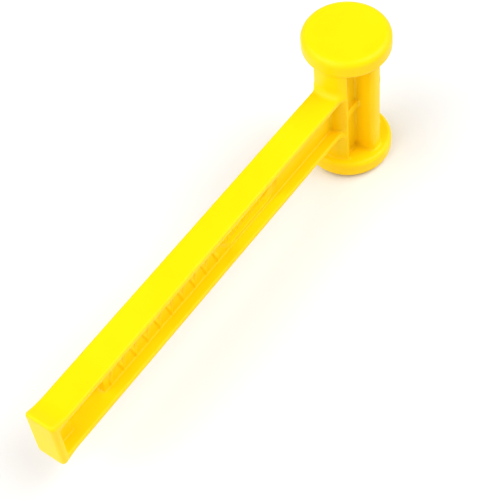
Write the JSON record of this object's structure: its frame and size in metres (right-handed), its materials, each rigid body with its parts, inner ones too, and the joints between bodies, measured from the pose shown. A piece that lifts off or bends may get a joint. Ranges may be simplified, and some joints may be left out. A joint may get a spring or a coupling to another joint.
{
  "type": "plastic mallet",
  "caption": "T-shaped moulded plastic mallet: two round striking faces on a slotted barrel head, and an I-section handle with an oval and a square opening.",
  "frame": {"origin": "centre of the lower striking face", "axes": "+Z along the head to the upper striking face, -X along the handle to its end, Y across the web"},
  "size_m": [0.291, 0.05, 0.095],
  "materials": {
    "yellow_plastic": "satin-gloss moulded plastic, bright yellow through its whole thickness"
  },
  "bodies": {
    "root": {"striking_disc_upper": "yellow_plastic", "striking_disc_lower": "yellow_plastic", "barrel_crown_rib": "yellow_plastic", "barrel_middle_rib": "yellow_plastic", "barrel_handle_rib": "yellow_plastic", "barrel_cross_rib_crown": "yellow_plastic", "barrel_cross_rib_handle": "yellow_plastic", "barrel_web_crown_upper": "yellow_plastic", "barrel_web_crown_lower": "yellow_plastic", "barrel_web_handle_upper": "yellow_plastic", "barrel_web_handle_lower": "yellow_plastic", "handle_flange_upper": "yellow_plastic", "handle_flange_lower": "yellow_plastic", "handle_flare_upper": "yellow_plastic", "handle_flare_lower": "yellow_plastic", "handle_root_fillet_upper": "yellow_plastic", "handle_root_fillet_lower": "yellow_plastic", "handle_web_neck": "yellow_plastic", "handle_web_grip": "yellow_plastic", "handle_web_end": "yellow_plastic", "handle_end_wall": "yellow_plastic", "grip_ribs_front": "yellow_plastic", "grip_ribs_back": "yellow_plastic"}
  },
  "joints": []
}
